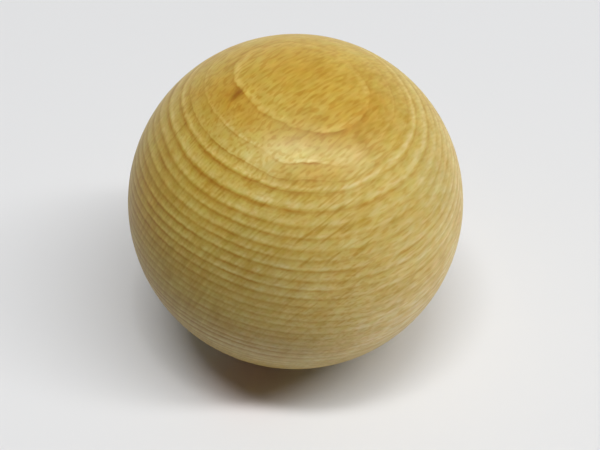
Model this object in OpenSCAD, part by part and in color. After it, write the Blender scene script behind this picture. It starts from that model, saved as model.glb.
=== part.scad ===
// Wooden ball
//
// A solid ball turned in one piece from one block of beech.
// It is modelled about its own centre, with +Z up and -Y towards the front.
// All sizes are in millimetres.

/* [Ball] */
// Diameter across the finished surface
ball_d = 70; // [20:1:120]

/* [Hidden] */

// Facets round the equator when the ball is drawn
facets = 180;

// Golden brown of varnished beech
beech = [0.78, 0.61, 0.36];

module ball() {
    color(beech)
        sphere(d = ball_d, $fn = facets);
}

ball();
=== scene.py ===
import math

import bpy
from mathutils import Matrix, Vector


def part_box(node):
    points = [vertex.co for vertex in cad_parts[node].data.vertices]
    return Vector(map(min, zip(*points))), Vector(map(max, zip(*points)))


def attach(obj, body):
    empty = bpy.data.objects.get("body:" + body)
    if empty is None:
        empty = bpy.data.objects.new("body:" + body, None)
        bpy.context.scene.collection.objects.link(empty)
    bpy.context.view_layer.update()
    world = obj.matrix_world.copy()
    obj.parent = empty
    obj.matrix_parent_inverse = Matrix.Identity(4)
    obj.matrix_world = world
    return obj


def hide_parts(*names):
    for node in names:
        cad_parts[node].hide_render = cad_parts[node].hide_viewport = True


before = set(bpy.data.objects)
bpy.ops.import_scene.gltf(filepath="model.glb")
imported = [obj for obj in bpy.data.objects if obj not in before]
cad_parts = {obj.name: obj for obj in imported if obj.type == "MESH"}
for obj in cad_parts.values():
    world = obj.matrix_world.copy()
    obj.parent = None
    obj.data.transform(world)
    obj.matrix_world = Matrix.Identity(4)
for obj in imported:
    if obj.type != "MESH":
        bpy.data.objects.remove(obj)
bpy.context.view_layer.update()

# ---------------------------------------------------------------- frame and sizes
ball_low, ball_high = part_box("ball")
centre = (ball_low + ball_high) / 2
radius = (ball_high.z - ball_low.z) / 2

MM = 0.001
radius_mm = radius / MM


def direction(azimuth, elevation):
    """Unit vector at those angles in degrees, azimuth counted from +X towards +Y."""
    a, e = math.radians(azimuth), math.radians(elevation)
    return Vector((math.cos(a) * math.cos(e), math.sin(a) * math.cos(e), math.sin(e)))


# ---------------------------------------------------------------- how the wood lies in the ball
# The fibres run nearly level, and the tree's bark side faces up. The pith lies far below.
fibre_axis = direction(45, 3)
bark_axis = direction(-82, 85.5)
bark_axis = (bark_axis - fibre_axis * bark_axis.dot(fibre_axis)).normalized()
across_axis = bark_axis.cross(fibre_axis)
pith_mm = 137

# The rays lean out of square with the rings, by this many degrees about the fibres.
ray_lean = 18
bold_ray_strength = 0.8

# Growth rings from the bark side down: width in mm, and how bold the line at the ring's end is.
# The ball's skin cuts the first ring short, at cut_mm from its start.
# After the last ring the pattern starts again from the second.
cut_mm = 1.1
RINGS = [
    (3.0, 0.8), (2.3, 0.6), (1.8, 0.8), (1.4, 1.1), (2.4, 1.15), (2.0, 0.65), (1.45, 0.75), (1.8, 0.6),
    (1.4, 0.65), (1.65, 1.0), (1.85, 0.75), (1.55, 0.9), (1.75, 0.8), (1.7, 0.6), (1.7, 0.5), (1.6, 0.5),
    (1.6, 0.45), (2.0, 0.65), (1.6, 0.4),
]

# No line in that list may be bolder than this.
boldest = 2.0

# One ring ends in an extra pale band: how deep below the bark side, how wide, and how much paler.
pale_band_mm = 6.85
pale_band_width_mm = 1 / 3
pale_band_tone = 0.25

# How tone runs through one ring, from the dark line at 0 to the next dark line at 1.
# The first rings have thin lines, with a thin pale edge before each. Deeper down the tone rolls softly.
THIN_LINES = [
    (0.0, 0.12), (0.06, 0.3), (0.14, 0.46), (0.5, 0.5), (0.83, 0.56),
    (0.91, 1.0), (0.96, 0.85), (0.99, 0.25), (1.0, 0.12),
]
SOFT_LINES = [
    (0.0, 0.03), (0.1, 0.25), (0.25, 0.5), (0.45, 0.66), (0.66, 0.92),
    (0.76, 0.86), (0.88, 0.35), (0.95, 0.08), (1.0, 0.03),
]

# How far in mm the rings wander and wobble, and how fast the tone drifts from ring to ring
wander_mm = 0.1
wobble_mm = 0.07
drift_pace = 0.7

# Depths in mm below the bark side between which each of these sets in
LINES_SOFTEN = (3, 9)
PORES_FADE = (3, 12)
BOLD_RAYS_START = (4, 9)
SIDES_DIFFER = (4, 30)

# Sizes in mm of the cloudy patterns: out from the pith, along the fibres, and round the pith
RING_WANDER = (20, 24, 9)
RING_WOBBLE = (5, 2.6, 1.0)
LINE_PATCHES = (3, 7, 3)
FINE_RAYS = (14, 2.0, 0.42)
BOLD_RAYS = (20, 4.5, 0.42)
PORES = (0.45, 2.4, 0.45)
MOTTLE = (1.6, 3.5, 1.6)
CLOUDS = (4, 9, 4)
RED_PATCHES = (1.3, 2.4, 1.3)
CREAM_PATCHES = (1.5, 2.7, 1.5)

# Height of the skin's slight unevenness
bump_mm = 0.03

# A place in the wood is in mm from the ball's centre: towards the bark, along the fibres, and across.
# The tables below hold places in the wood, each with its reach in mm on the same three axes.

# Where the rings bulge, and how far in mm they rise there
SWELLS = [
    ((31, 1, -15), (9, 14, 7), 0.8),
    ((31, -1, 17), (9, 9, 5), 0.4),
    ((33, -11, 3), (4, 4, 6), -0.25),
    ((32.3, 8, -10), (4, 5, 4), 0.2),
    ((23, -22, 14), (7, 9, 9), -0.9),
    ((22, -5, -27), (8, 10, 9), -0.35),
    ((15, -30, -6), (14, 10, 9), -0.3),
    ((29.4, -15.3, -11.4), (3, 3.5, 3.5), 0.65),
    ((28.4, -7, -19.3), (3, 4, 3.5), 0.8),
]

# Where the ring lines are bolder or fainter than elsewhere, and by how much
LINE_CHANGES = [
    ((33, -8, 8), (4, 3, 4), 0.6),
    ((32, -5, -13), (4, 6, 3), 1.1),
    ((33, 12, 3), (4, 6, 14), -0.6),
    ((30.5, -16, -8), (2, 3, 4), -0.7),
    ((29.8, -12, -14), (1.2, 5, 4), 1.4),
    ((32.3, 8, -10), (4, 5, 4), 0.8),
    ((31.7, -1, -15), (3, 5, 2), 0.7),
    ((19, -19, -21), (8, 11, 9), 0.08),
    ((-8, -18, -28), (5, 16, 14), -0.5),
]

# Where the wood is amber, and how strongly: in the eye of the rings, round it, and in an island before it
AMBER = [
    ((35, 2, 0), (9, 10, 14), 0.7),
    ((31.5, -12, 9), (6, 4, 6), 0.7),
    ((32.3, -13, 1), (6, 3, 6), 0.5),
    ((31.3, 7, -14), (4, 7, 3), 0.45),
    ((32.7, -10.5, 5.5), (3, 3, 2), 0.35),
    ((29.5, 3, -18.5), (4, 8, 3), 0.4),
    ((32, -2, -13), (4, 6, 3), 0.4),
    ((31.2, -1, -16), (2, 5, 2), 0.3),
    ((28.6, -12, -16.2), (1.2, 5, 4), 0.9),
]

# A dark pin knot by the eye, with a thin tail
KNOT = [
    ((33.0, -10.5, 5.0), (3, 1.3, 0.9), 1.1),
    ((32.3, -12.0, 5.2), (3, 1.2, 0.5), 0.15),
]

# Where the surface is paler or browner, and what its red, green and blue are multiplied by. Most are the
# wood's own tone; those marked below are painted highlight and painted floor reflection.
PATCHES = [
    # Round the eye
    ((33.3, -9, 3.3), (1, 1, 1), (1.07, 1.15, 1.2)),
    ((30, 4, -18), (4, 7, 4), (0.95, 0.94, 0.92)),
    ((32.5, -6, -11), (1.5, 5, 4), (0.95, 0.94, 0.86)),
    ((32.5, -10, -8), (1.2, 5, 5), (0.99, 0.97, 0.85)),
    ((30.5, 12, -12), (4, 6, 5), (0.93, 0.89, 0.82)),
    ((26.8, -2, 22.4), (3, 5, 4), (1, 0.97, 0.85)),
    # In the pale ring before the eye, paler and whiter: painted highlight
    ((30, -17, -6.5), (1.5, 6, 5), (1.14, 1.26, 2.0)),
    ((28.4, -14.5, -14.5), (0.8, 5, 5), (1.02, 1.06, 1.35)),
    ((31, -17, 3), (2.5, 4, 4), (1, 1.03, 1.25)),
    ((30.4, -11.5, -12.5), (0.9, 5, 4), (1.11, 1.19, 1.35)),
    ((29.6, -7.5, -17), (1, 5, 4), (1.15, 1.22, 1.6)),
    ((28.9, -11.5, -15.3), (1, 5, 3.5), (1, 1.06, 1.04)),
    # Down the front and the sides
    ((19, -26, -15), (9, 8, 10), (0.87, 0.87, 0.84)),
    ((12, -26, -19), (6, 10, 8), (0.92, 0.925, 0.94)),
    ((17, -13, -24), (7, 8, 7), (0.97, 0.96, 0.95)),
    ((24.5, -3, -25), (5, 10, 6), (1.05, 1.06, 1.09)),
    ((18, 11, -28), (11, 7, 5), (0.91, 0.92, 0.94)),
    ((15, -29, 12), (8, 9, 7), (0.99, 0.9, 0.55)),
    # Low down at the front, paler and whiter: painted floor reflection
    ((-3, -6, -34), (9, 14, 9), (1.2, 1.24, 1.6)),
    ((-7, -15, -30), (5, 8, 6), (1.15, 1.15, 1.25)),
    ((-5, -28, -18), (6, 10, 10), (1.06, 1.04, 1.2)),
    # On the far side, paler and less yellow, which eases the painted shade of the left side there
    ((-4, 12, 30), (28, 22, 14), (1.15, 1.27, 2.7)),
    ((-16, -20, 22), (15, 15, 15), (1.08, 1.15, 1.9)),
]

# ---------------------------------------------------------------- colours of the wood
# Red, green and blue by tone, from the dark ring line at 0 to the pale one at 1
TONE_COLOURS = [
    (0.0, (0.38, 0.198, 0.016)),
    (0.5, (0.50, 0.352, 0.058)),
    (1.0, (0.61, 0.46, 0.12)),
]

# The rest are what a colour is multiplied by
# Painted floor reflection: low at the front right the colour is made creamier, as a reflection of the pale
# floor would make it
PAINTED_REFLECTION_TINT = (1.03, 1.1, 1.8)
# Painted shade darkens the left side and painted light brightens the right side
LEFT_PAINTED_SHADE = (0.68, 0.64, 0.43)
RIGHT_PAINTED_LIGHT = (1.41, 1.39, 1.66)
AMBER_TINT = (0.96, 0.78, 0.42)
RAY_TINT = (0.8, 0.68, 0.4)
PORE_TINT = (0.85, 0.71, 0.42)
KNOT_TINT = (0.62, 0.42, 0.0)
DARK_RIPPLE = (0.78, 0.65, 0.1)
PALE_RIPPLE = (1.3, 1.43, 2.05)
GREENER = (0.96, 1.02, 1.03)
REDDER = (1.04, 0.98, 0.97)
YELLOWER = (1.0, 1.0, 0.88)
CREAMIER = (1.0, 1.0, 1.12)


def grey(level):
    return (level, level, level)


# ---------------------------------------------------------------- node helper
class Graph:
    """Adds nodes to a material or a world and wires them up. Most methods return a node's output."""

    def __init__(self, owner):
        owner.use_nodes = True
        self.tree = owner.node_tree
        self.tree.nodes.clear()

    def add(self, kind, inputs=None, **settings):
        """A node with its settings made and its named inputs fed. Returns the node itself."""
        node = self.tree.nodes.new(kind)
        for name, value in settings.items():
            setattr(node, name, value)
        for name, value in (inputs or {}).items():
            self.feed(node.inputs[name], value)
        return node

    def feed(self, socket, value):
        """Links an output to the socket, or writes a constant into it."""
        if isinstance(value, bpy.types.NodeSocket):
            self.tree.links.new(value, socket)
        elif socket.type == "RGBA":
            socket.default_value = (*value, 1.0)
        else:
            socket.default_value = value

    def math(self, operation, *values):
        node = self.add("ShaderNodeMath", operation=operation)
        for socket, value in zip(node.inputs, values):
            self.feed(socket, value)
        return node.outputs["Value"]

    def total(self, first, *others):
        for other in others:
            first = self.math("ADD", first, other)
        return first

    def product(self, first, *others):
        for other in others:
            first = self.math("MULTIPLY", first, other)
        return first

    def weigh(self, *pairs):
        """The sum of some values, each times its weight."""
        return self.total(*[self.product(value, weight) for value, weight in pairs])

    def vector(self, operation, *values):
        node = self.add("ShaderNodeVectorMath", operation=operation)
        for socket, value in zip(node.inputs, values):
            self.feed(socket, value)
        return node.outputs["Value" if operation in ("DOT_PRODUCT", "LENGTH") else "Vector"]

    def join(self, x, y, z):
        return self.add("ShaderNodeCombineXYZ", {"X": x, "Y": y, "Z": z}).outputs["Vector"]

    def parts(self, vector):
        """The three numbers in a vector."""
        return tuple(self.add("ShaderNodeSeparateXYZ", {"Vector": vector}).outputs)

    def span(self, value, low, high, to_low=0.0, to_high=1.0, smooth=True):
        """value from low..high to to_low..to_high, held at both ends."""
        limits = {"From Min": low, "From Max": high, "To Min": to_low, "To Max": to_high}
        kind = "SMOOTHSTEP" if smooth else "LINEAR"
        node = self.add("ShaderNodeMapRange", {"Value": value, **limits}, interpolation_type=kind)
        return node.outputs["Result"]

    def noise(self, place, size=(1, 1, 1), detail=2.0):
        """Clouds of that size on each axis, with values from -1 to 1 and round 0."""
        place = self.vector("MULTIPLY", place, [1 / s for s in size])
        node = self.add("ShaderNodeTexNoise", {"Vector": place, "Scale": 1.0, "Detail": detail})
        return self.span(node.outputs["Fac"], 0.25, 0.75, -1.0, 1.0, smooth=False)

    def bell(self, place, middle, reach):
        """1 at the middle, fading away over the reach on each axis."""
        offset = self.vector("SUBTRACT", place, middle)
        offset = self.vector("MULTIPLY", offset, [1 / r for r in reach])
        return self.math("EXPONENT", self.product(self.vector("DOT_PRODUCT", offset, offset), -1.0))

    def bells(self, place, table):
        """The sum of a table's bells, each a middle, a reach and a height."""
        return self.weigh(*[(self.bell(place, middle, reach), height) for middle, reach, height in table])

    def mix(self, amount, first, second, blend="MIX"):
        """The first colour where amount is 0, and the two blended where it is 1."""
        node = self.add("ShaderNodeMix", data_type="RGBA", blend_type=blend)
        sockets = {socket.identifier: socket for socket in (*node.inputs, *node.outputs)}
        self.feed(sockets["Factor_Float"], amount)
        self.feed(sockets["A_Color"], first)
        self.feed(sockets["B_Color"], second)
        return sockets["Result_Color"]

    def times(self, colour, by, amount=1.0):
        """A colour multiplied by another, as far as amount says."""
        return self.mix(amount, colour, by, "MULTIPLY")

    def swing(self, value, low_colour, high_colour, reach=1.0):
        """From one colour to the other as value goes from -reach to reach."""
        return self.mix(self.span(value, -reach, reach, smooth=False), low_colour, high_colour)

    def ramp(self, value, stops, interpolation="LINEAR"):
        """The colours of the stops in turn, where each stop is a value and its colour."""
        node = self.add("ShaderNodeValToRGB", {"Fac": value})
        node.color_ramp.interpolation = interpolation
        points = node.color_ramp.elements
        while len(points) < len(stops):
            points.new(0.5)
        for point, (where, colour) in zip(points, stops):
            point.position = where
            point.color = (*colour, 1.0)
        return node.outputs["Color"]

    def curve(self, value, points):
        """A line of straight pieces through the points."""
        node = self.add("ShaderNodeFloatCurve", {"Value": value})
        line = node.mapping.curves[0]
        line.points[0].location = points[0]
        line.points[1].location = points[-1]
        for x, y in points[1:-1]:
            line.points.new(x, y)
        for point in line.points:
            point.handle_type = "VECTOR"
        node.mapping.update()
        return node.outputs["Value"]


# ---------------------------------------------------------------- places in the wood
def wood_place(g):
    """
    Each point's place in the wood, straight and bent. The bent one has the rings laid flat:
    it is the height over the ring through the centre, then along the fibres, then round the pith.
    """
    place = g.add("ShaderNodeTexCoord").outputs["Object"]
    bark = g.vector("DOT_PRODUCT", place, bark_axis / MM)
    fibre = g.vector("DOT_PRODUCT", place, fibre_axis / MM)
    across = g.vector("DOT_PRODUCT", place, across_axis / MM)
    over_pith = g.total(bark, pith_mm)
    from_pith = g.math("SQRT", g.total(g.product(over_pith, over_pith), g.product(across, across)))
    out = g.total(from_pith, -pith_mm)
    around = g.product(g.math("ARCTAN2", across, over_pith), pith_mm)
    return g.join(bark, fibre, across), g.join(out, fibre, around)


def leaning_place(g, bent):
    """The bent place, measured along and square to the rays, which lean."""
    out, fibre, around = g.parts(bent)
    cos_lean = math.cos(math.radians(ray_lean))
    sin_lean = math.sin(math.radians(ray_lean))
    along = g.weigh((out, cos_lean), (around, -sin_lean))
    aside = g.weigh((around, cos_lean), (out, sin_lean))
    return g.join(along, fibre, aside)


def ring_depth(g, straight, bent):
    """Depth in mm below the bark side, counted along the rings, so it follows their swells and wobbles."""
    out, _, _ = g.parts(bent)
    smooth_depth = g.math("SUBTRACT", radius_mm, out)
    rise = g.bells(straight, SWELLS)
    wander = g.noise(bent, RING_WANDER)
    wobble = g.noise(bent, RING_WOBBLE, detail=1.0)
    return g.weigh((smooth_depth, 1.0), (rise, -1.0), (wander, wander_mm), (wobble, wobble_mm))


# ---------------------------------------------------------------- rings
def ring_marks():
    """Depth in mm of each ring line below the bark side, with its boldness, right through the ball."""
    depth = -cut_mm
    marks = [(depth, RINGS[0][1])]
    rings = RINGS
    while depth < 2 * radius_mm:
        for width, bold in rings:
            depth += width
            marks.append((depth, bold))
        rings = RINGS[1:]
    return marks


def count_rings(g, depth):
    """The number of rings above a depth, with its fraction, and how bold the ring lines are there."""
    marks = ring_marks()
    start, end = marks[0][0], marks[-1][0]
    last = len(marks) - 1
    way_down = g.span(depth, start, end, smooth=False)
    places = [(mark - start) / (end - start) for mark, _ in marks]
    numbers = [(place, i / last) for i, place in enumerate(places)]
    bolds = [(place, bold / boldest) for place, (_, bold) in zip(places, marks)]
    number = g.product(g.curve(way_down, numbers), float(last))
    bold = g.product(g.curve(way_down, bolds), boldest)
    return number, bold


def line_boldness(g, straight, bent, bold):
    """The boldness of the ring lines from place to place. It fades towards the right and the far left."""
    _, fibre, across = g.parts(straight)
    # In radians, from 0 at the front left, growing towards the right
    turn = g.math("ARCTAN2", g.product(across, -1.0), g.product(fibre, -1.0))
    bold = g.product(
        bold,
        g.span(g.noise(bent, LINE_PATCHES), -1.0, 1.0, 0.475, 1.65, smooth=False),
        g.span(turn, -0.9, -0.3, 0.6, 1.0),
        g.span(turn, 0.3, 1.2, 1.0, 0.38),
    )
    for middle, reach, change in LINE_CHANGES:
        bold = g.product(bold, g.total(1.0, g.product(g.bell(straight, middle, reach), change)))
    return bold


def ring_tone(g, depth, number, bold):
    """Tone through the rings, from 0 on a dark line to 1 on a pale one."""
    through = g.math("FRACT", number)
    thin = g.ramp(through, [(place, grey(tone)) for place, tone in THIN_LINES])
    soft = g.ramp(through, [(place, grey(tone)) for place, tone in SOFT_LINES], "EASE")
    tone = g.mix(g.span(depth, *LINES_SOFTEN), thin, soft)
    tone = g.total(g.product(g.total(tone, -0.5), bold), 0.5)
    offset = g.product(g.total(depth, -pale_band_mm), 1 / pale_band_width_mm)
    band = g.math("EXPONENT", g.product(offset, offset, -1.0))
    return g.total(tone, g.product(band, pale_band_tone))


# ---------------------------------------------------------------- rays, pores and colour
def wood_rays(g, bent, depth):
    """Thin brown sheets along the fibres: many fine ones, and a few bold ones at the front left."""
    leaning = leaning_place(g, bent)
    _, fibre, aside = g.parts(leaning)
    off_middle = g.math("ABSOLUTE", aside)
    fine = g.product(g.noise(leaning, FINE_RAYS, detail=0.0), g.span(off_middle, 6, 18, 1.0, 0.5))
    bold = g.product(
        g.span(g.noise(leaning, BOLD_RAYS, detail=0.0), 0.4, 1.0),
        g.span(fibre, -33, -18, 0.1, 1.0),
        g.span(fibre, -15, -1, 1.0, 0.0),
        g.span(off_middle, 16, 28, 1.0, 0.0),
        g.span(depth, *BOLD_RAYS_START),
    )
    return fine, bold


def pore_dashes(g, pores, straight, depth):
    """How dark the pores are: most where the skin cuts the rings at a low angle, and at the front right."""
    _, fibre, across = g.parts(straight)
    return g.product(
        g.span(pores, -0.1, 0.8, 0.0, 0.75),
        g.span(depth, *PORES_FADE, 1.0, 0.45),
        g.span(fibre, -2, 12, 1.0, 0.5),
        g.span(across, -30, -20, 1.7, 1.0),
    )


def paint_light_and_shade(g, colour, straight, depth):
    """The colour with painted light: creamier low at the front right as a painted floor reflection and, down
    the ball, paler from left to right as painted shade on the left and painted light on the right.
    """
    bark, fibre, across = g.parts(straight)
    # Painted floor reflection, creamier low at the front right
    painted_reflection = g.span(g.weigh((bark, -0.5), (across, -1.0)), -12, 25)
    colour = g.times(colour, PAINTED_REFLECTION_TINT, painted_reflection)
    # Painted shade on the left and painted light on the right, setting in down the ball
    rightward = g.weigh((fibre, 0.7), (across, -0.7))
    rightward = g.math("POWER", g.span(rightward, -30, 30, smooth=False), 1.7)
    painted_light_and_shade = g.mix(rightward, LEFT_PAINTED_SHADE, RIGHT_PAINTED_LIGHT)
    return g.times(colour, g.mix(g.span(depth, *SIDES_DIFFER), grey(1.0), painted_light_and_shade))


def make_wood():
    """Beech under a satin varnish. All of its pattern comes from the place in the wood."""
    material = bpy.data.materials.new("beech")
    g = Graph(material)
    straight, bent = wood_place(g)
    depth = ring_depth(g, straight, bent)
    number, bold = count_rings(g, depth)
    tone = ring_tone(g, depth, number, line_boldness(g, straight, bent, bold))
    drift = g.noise(g.join(g.product(number, drift_pace), 0.5, 0.0), detail=1.0)
    fine_rays, bold_rays = wood_rays(g, bent, depth)
    pores = g.noise(bent, PORES, detail=0.0)
    mottle = g.noise(bent, MOTTLE, detail=1.0)
    clouds = g.noise(bent, CLOUDS)

    colour = paint_light_and_shade(g, g.ramp(tone, TONE_COLOURS), straight, depth)
    amber = g.product(g.bells(straight, AMBER), g.span(clouds, -1.0, 1.0, 0.7, 1.2))
    colour = g.times(colour, AMBER_TINT, g.math("MINIMUM", amber, 1.0))
    # The wood's own tone patches, with the painted highlight and painted floor reflection among them
    for middle, reach, by in PATCHES:
        colour = g.times(colour, by, g.bell(straight, middle, reach))
    colour = g.times(colour, RAY_TINT, g.product(bold_rays, bold_ray_strength))
    colour = g.times(colour, PORE_TINT, pore_dashes(g, pores, straight, depth))
    colour = g.times(colour, KNOT_TINT, g.math("MINIMUM", g.bells(straight, KNOT), 1.0))

    ripple = g.weigh((fine_rays, 0.08), (mottle, 0.07), (clouds, 0.09), (drift, 0.05))
    colour = g.times(colour, g.swing(ripple, DARK_RIPPLE, PALE_RIPPLE, reach=0.3))

    # Small patches are redder or greener, and creamier or yellower. Darker clouds and rings are redder.
    redder = g.noise(bent, RED_PATCHES, detail=1.0)
    redder = g.weigh((redder, 0.85), (clouds, -0.35), (drift, -0.2))
    colour = g.times(colour, g.swing(redder, GREENER, REDDER))
    creamier = g.noise(bent, CREAM_PATCHES, detail=1.0)
    colour = g.times(colour, g.swing(creamier, YELLOWER, CREAMIER))

    height = g.weigh((pores, -0.05), (fine_rays, 0.05), (mottle, 0.5))
    bump = g.add("ShaderNodeBump", {"Height": height, "Strength": 0.5, "Distance": bump_mm * MM})
    shader = g.add(
        "ShaderNodeBsdfPrincipled",
        {
            "Base Color": colour,
            "Roughness": g.span(tone, 0.0, 1.0, 0.48, 0.40, smooth=False),
            "Normal": bump.outputs["Normal"],
            "IOR": 1.5,
            "Specular IOR Level": 0.2,
            "Coat Weight": 0.1,
            "Coat Roughness": 0.25,
        },
    )
    g.add("ShaderNodeOutputMaterial", {"Surface": shader.outputs["BSDF"]})
    return material


# ---------------------------------------------------------------- the ball
def make_ball(steps=128):
    """A ball of six curved grids of squares, like a blown-up cube."""
    verts, faces, index = [], [], {}
    same_place = 1e-6

    def corner(side, i, j):
        """The number of a grid's corner. Grids that meet share their corners."""
        axis, sign = side // 2, 1 - 2 * (side % 2)
        u, v = (math.tan(math.pi / 4 * (2 * k / steps - 1)) for k in (i, j))
        point = [0.0, 0.0, 0.0]
        point[axis] = sign
        point[(axis + 1) % 3] = u * sign
        point[(axis + 2) % 3] = v
        point = Vector(point).normalized()
        key = tuple(round(c / same_place) for c in point)
        if key not in index:
            index[key] = len(verts)
            verts.append(centre + point * radius)
        return index[key]

    square = ((0, 0), (1, 0), (1, 1), (0, 1))
    for side in range(6):
        for i in range(steps):
            for j in range(steps):
                faces.append([corner(side, i + right, j + up) for right, up in square])
    mesh = bpy.data.meshes.new("turned_ball")
    mesh.from_pydata(verts, [], faces)
    mesh.shade_smooth()
    ball = bpy.data.objects.new("turned_ball", mesh)
    bpy.context.collection.objects.link(ball)
    mesh.materials.append(make_wood())
    return ball


ball = make_ball()
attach(ball, "root")
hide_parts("ball")

# ---------------------------------------------------------------- floor, light and camera
WHITE = grey(1.0)

# The floor's colour as it is seen, and as it throws light onto the ball
FLOOR_SEEN = (0.74, 0.745, 0.755)
FLOOR_BOUNCE = grey(0.6)
floor_half = 60 * radius

# How bright the backdrop looks. The floor fades into it between these distances from the ball.
backdrop_level = 0.8
fade_start = 12 * radius
fade_end = 50 * radius

# A small place in the ball's own shadow is browner, as if from light the wood throws down.
BROWN_TINT = (1.0, 0.76, 0.72)
brown_middle = Vector((centre.x - 0.26 * radius, centre.y - 0.46 * radius, ball_low.z))
brown_reach = (0.27 * radius, 0.27 * radius, radius)

# A lamp of this many watts, 1 m away, lights a facing white surface to a level of about 1.
watts_at_1_m = 10
lamp_distance = 3.0


def seen_directly(g):
    """1 for rays from the camera and rays that show a reflection, 0 for rays that light things."""
    rays = g.add("ShaderNodeLightPath").outputs
    seen = g.math("MAXIMUM", rays["Is Camera Ray"], rays["Is Glossy Ray"])
    return g.math("MAXIMUM", seen, rays["Is Transmission Ray"])


def floor_material():
    """
    A matt floor that is seen in one colour, and throws light back onto the ball as if it had another.
    Far from the ball, out of the lamps' reach, it is shown as bright as the backdrop.
    """
    material = bpy.data.materials.new("pale_floor")
    g = Graph(material)
    direct = seen_directly(g)
    place = g.add("ShaderNodeTexCoord").outputs["Object"]
    colour = g.mix(direct, FLOOR_BOUNCE, FLOOR_SEEN)
    colour = g.times(colour, BROWN_TINT, g.product(g.bell(place, brown_middle, brown_reach), direct))
    near = g.add("ShaderNodeBsdfPrincipled", {"Base Color": colour, "Roughness": 0.7})
    far = g.add("ShaderNodeEmission", {"Color": WHITE, "Strength": backdrop_level})
    away = g.span(g.vector("LENGTH", place), fade_start, fade_end)
    blend = g.add("ShaderNodeMixShader", {"Fac": g.product(away, direct)})
    g.feed(blend.inputs[1], near.outputs["BSDF"])
    g.feed(blend.inputs[2], far.outputs["Emission"])
    g.add("ShaderNodeOutputMaterial", {"Surface": blend.outputs["Shader"]})
    return material


def make_floor():
    """A wide level square under the ball."""
    signs = ((-1, -1), (1, -1), (1, 1), (-1, 1))
    corners = [(x * floor_half, y * floor_half, ball_low.z) for x, y in signs]
    mesh = bpy.data.meshes.new("floor")
    mesh.from_pydata(corners, [], [(0, 1, 2, 3)])
    mesh.materials.append(floor_material())
    floor = bpy.data.objects.new("floor", mesh)
    bpy.context.collection.objects.link(floor)
    return floor


def make_lamp(name, towards, half_width, half_height, level, reflects=True):
    """
    A flat lamp facing the ball. It reaches half_width degrees to each side and half_height up and down,
    and lights a facing white surface to that level. Unless it reflects, it doesn't show in what it lights.
    """
    data = bpy.data.lights.new(name, "AREA")
    data.shape = "RECTANGLE"
    data.size = 2 * lamp_distance * math.tan(math.radians(half_width))
    data.size_y = 2 * lamp_distance * math.tan(math.radians(half_height))
    data.energy = watts_at_1_m * level * lamp_distance ** 2
    lamp = bpy.data.objects.new(name, data)
    away = towards.normalized()
    along = (Vector((1, 0, 0)) - away * away.x).normalized()
    turn = Matrix((along, away.cross(along), away)).transposed()
    lamp.matrix_world = Matrix.Translation(centre + away * lamp_distance) @ turn.to_4x4()
    lamp.visible_camera = False
    lamp.visible_glossy = reflects
    bpy.context.collection.objects.link(lamp)


def make_world():
    """A backdrop that the camera and reflections see, and that lights nothing."""
    world = bpy.data.worlds.new("soft_daylight")
    g = Graph(world)
    strength = g.product(seen_directly(g), backdrop_level)
    background = g.add("ShaderNodeBackground", {"Color": WHITE, "Strength": strength})
    g.add("ShaderNodeOutputWorld", {"Surface": background.outputs["Background"]})
    bpy.context.scene.world = world


def make_camera(elevation, distance, lens, aim_right, aim_below):
    """A camera in front of the ball and above it, aimed a little to the right of its centre and below it."""
    back = direction(-90, elevation)
    up = direction(90, 90 - elevation)
    aim = centre + Vector((aim_right, 0, 0)) - up * aim_below
    data = bpy.data.cameras.new("camera")
    data.lens = lens
    camera = bpy.data.objects.new("camera", data)
    camera.location = centre + back * distance
    camera.rotation_mode = "QUATERNION"
    camera.rotation_quaternion = (aim - camera.location).to_track_quat("-Z", "Y")
    bpy.context.collection.objects.link(camera)
    bpy.context.scene.camera = camera


make_floor()
make_lamp("overhead_left", Vector((-0.09, -0.21, 1.0)), half_width=12, half_height=3, level=0.52)
make_lamp("overhead_right", Vector((0.52, -0.25, 1.0)), half_width=22, half_height=3, level=0.62)
make_lamp("back_strip", direction(81, 9), half_width=70, half_height=6, level=1.25, reflects=False)
make_world()
make_camera(elevation=42, distance=6.05 * radius, lens=60, aim_right=0.9 * MM, aim_below=4.85 * MM)
bpy.context.scene.view_settings.view_transform = "Standard"
